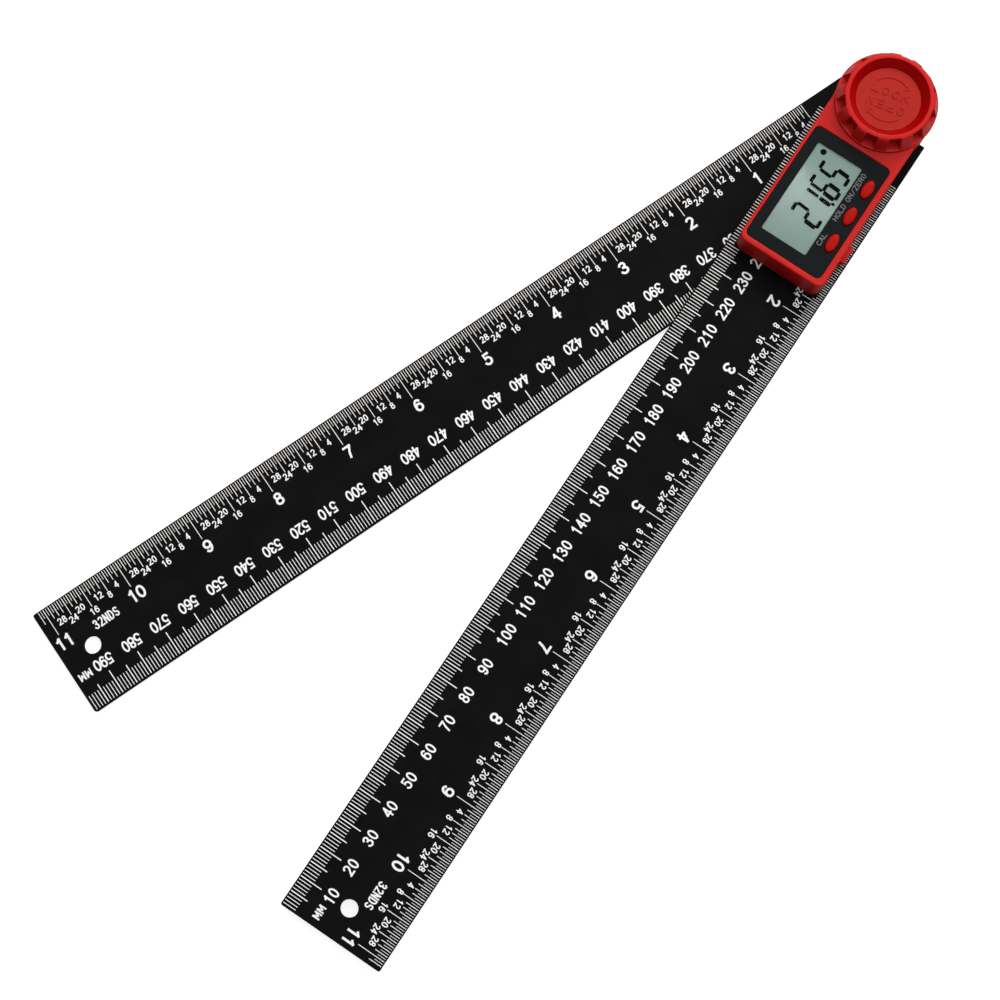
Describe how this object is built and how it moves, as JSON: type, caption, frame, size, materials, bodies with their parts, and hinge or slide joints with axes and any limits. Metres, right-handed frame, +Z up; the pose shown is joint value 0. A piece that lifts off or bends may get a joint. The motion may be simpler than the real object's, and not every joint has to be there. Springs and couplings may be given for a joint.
{
  "type": "angle finder with arms",
  "caption": "Two flat scaled rules on a shared pivot with a battery-powered angle display head, push buttons and a fluted lock knob.",
  "frame": {"origin": "pivot axis in the underside of the lower rule, at the centre of the pivot stud's flush head", "axes": "+X along the head rule from the pivot to its free end, +Y towards the head rule's inch edge, +Z up to the lock knob; the free rule stands 21.65 degrees clockwise from the head rule seen from above"},
  "size_m": [0.3158, 0.1439, 0.0209],
  "materials": {
    "rule_black": "matte, fine grain",
    "nylon_black": "matte",
    "housing_red": "satin moulded",
    "knob_red": "satin moulded",
    "button_red": "glossy",
    "faceplate_dark": "smooth film",
    "window_clear": "clear, glossy",
    "lcd_grey": "polarised, satin",
    "nylon_white": "smooth",
    "zebra_rubber": "matte",
    "circuit_green": "lacquered board",
    "chip_black": "matte",
    "ribbon_amber": "film",
    "steel": "turned, satin",
    "spring_steel": "bright",
    "brass": "turned"
  },
  "bodies": {
    "head": {"head_rule": "rule_black", "housing_base": "nylon_black", "housing_shell": "housing_red", "faceplate": "faceplate_dark", "display_window": "window_clear", "lcd_glass": "lcd_grey", "lcd_frame": "nylon_white", "zebra_strips": "zebra_rubber", "main_board": "circuit_green", "controller_chip": "chip_black", "board_parts": "chip_black", "board_screws": "steel", "dome_switches": "steel", "contact_positive": "spring_steel", "contact_negative": "spring_steel", "stator_board": "circuit_green", "board_ribbon": "ribbon_amber", "case_screws": "steel", "pivot_bush": "brass", "knob_washer": "nylon_white"},
    "free_rule": {"free_rule": "rule_black", "pivot_stud": "steel", "slip_washer": "nylon_white", "encoder_rotor": "circuit_green", "wave_washer": "spring_steel", "retaining_ring": "spring_steel"},
    "lock_knob": {"lock_knob": "knob_red", "knob_insert": "brass", "knob_cap": "knob_red"},
    "power_button": {"power_button": "button_red"},
    "hold_button": {"hold_button": "button_red"},
    "cal_button": {"cal_button": "button_red"},
    "battery_tray": {"battery_tray": "housing_red", "coin_cell": "steel"}
  },
  "joints": [
    {"name": "rule_pivot", "type": "hinge", "parent": "head", "child": "free_rule", "pos_m": [0, 0, 0], "axis": [0, 0, 1], "continuous": true},
    {"name": "knob_turn", "type": "hinge", "parent": "head", "child": "lock_knob", "pos_m": [0, 0, 0], "axis": [0, 0, 1], "range_deg": [0, 180]},
    {"name": "power_button_press", "type": "slide", "parent": "head", "child": "power_button", "axis": [0, 0, -1], "range_m": [0, 0.0005], "stiffness_N_per_m": 2000, "springref_m": -0.0002},
    {"name": "hold_button_press", "type": "slide", "parent": "head", "child": "hold_button", "axis": [0, 0, -1], "range_m": [0, 0.0005], "stiffness_N_per_m": 2000, "springref_m": -0.0002},
    {"name": "cal_button_press", "type": "slide", "parent": "head", "child": "cal_button", "axis": [0, 0, -1], "range_m": [0, 0.0005], "stiffness_N_per_m": 2000, "springref_m": -0.0002},
    {"name": "tray_slide", "type": "slide", "parent": "head", "child": "battery_tray", "axis": [0, 1, 0], "range_m": [0, 0.025]}
  ]
}
